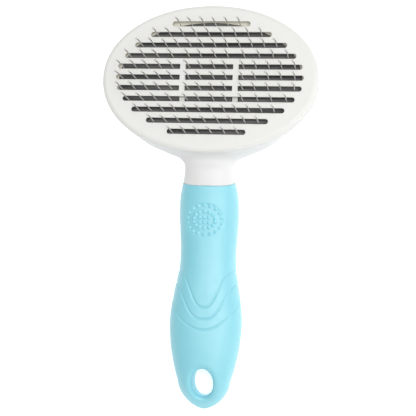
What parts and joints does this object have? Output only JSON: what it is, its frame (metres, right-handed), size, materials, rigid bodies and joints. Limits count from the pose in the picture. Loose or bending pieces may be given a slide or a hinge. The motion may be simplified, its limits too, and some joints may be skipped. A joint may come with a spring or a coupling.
{
  "type": "slicker brush",
  "caption": "Self-cleaning pet slicker brush: oval white head with rows of bent wire pins in a slotted face plate, rear push button and a soft blue grip with a hanging hole.",
  "frame": {"origin": "middle of the footprint on the surface that the brush lies on, back down and pins up", "axes": "+X to the right seen from the front, +Y along the handle towards the top of the head, +Z along the pins, out of the front face"},
  "size_m": [0.1046, 0.1926, 0.0535],
  "materials": {
    "white_shell": "satin moulded ABS",
    "white_face": "satin moulded ABS, slightly warmer than the shell",
    "bezel_plastic": "matt beige-white moulded ABS",
    "blue_rubber": "satin soft-touch thermoplastic rubber, pale sky blue",
    "black_plate": "matt charcoal moulded plastic",
    "pin_wire": "polished stainless steel wire",
    "pin_bead": "small dipped resin bead",
    "spring_steel": "drawn spring wire",
    "screw_steel": "zinc-plated steel"
  },
  "bodies": {
    "brush_frame": {"back_shell": "white_shell", "grip_sleeve": "blue_rubber", "plate_bezel": "bezel_plastic", "pin_plate": "black_plate", "pin_backing_plate": "black_plate", "plate_screws": "screw_steel", "return_spring_upper": "spring_steel", "return_spring_lower": "spring_steel", "pin_row_01": "pin_wire", "pin_row_02": "pin_wire", "pin_row_03": "pin_wire", "pin_row_04": "pin_wire", "pin_row_05": "pin_wire", "pin_row_06": "pin_wire", "pin_row_07": "pin_wire", "pin_row_08": "pin_wire", "pin_row_09": "pin_wire", "pin_row_10": "pin_wire", "pin_row_11": "pin_wire", "pin_tips_row_01": "pin_bead", "pin_tips_row_02": "pin_bead", "pin_tips_row_03": "pin_bead", "pin_tips_row_04": "pin_bead", "pin_tips_row_05": "pin_bead", "pin_tips_row_06": "pin_bead", "pin_tips_row_07": "pin_bead", "pin_tips_row_08": "pin_bead", "pin_tips_row_09": "pin_bead", "pin_tips_row_10": "pin_bead", "pin_tips_row_11": "pin_bead"},
    "cleaning_plate": {"face_plate": "white_face", "release_button": "white_shell", "button_pad": "blue_rubber"}
  },
  "joints": [
    {"name": "plate_slide", "type": "slide", "parent": "brush_frame", "child": "cleaning_plate", "axis": [0, 0, 1], "range_m": [0, 0.01], "stiffness_N_per_m": 500, "springref_m": -0.008, "deforming": ["return_spring_upper", "return_spring_lower"]}
  ]
}
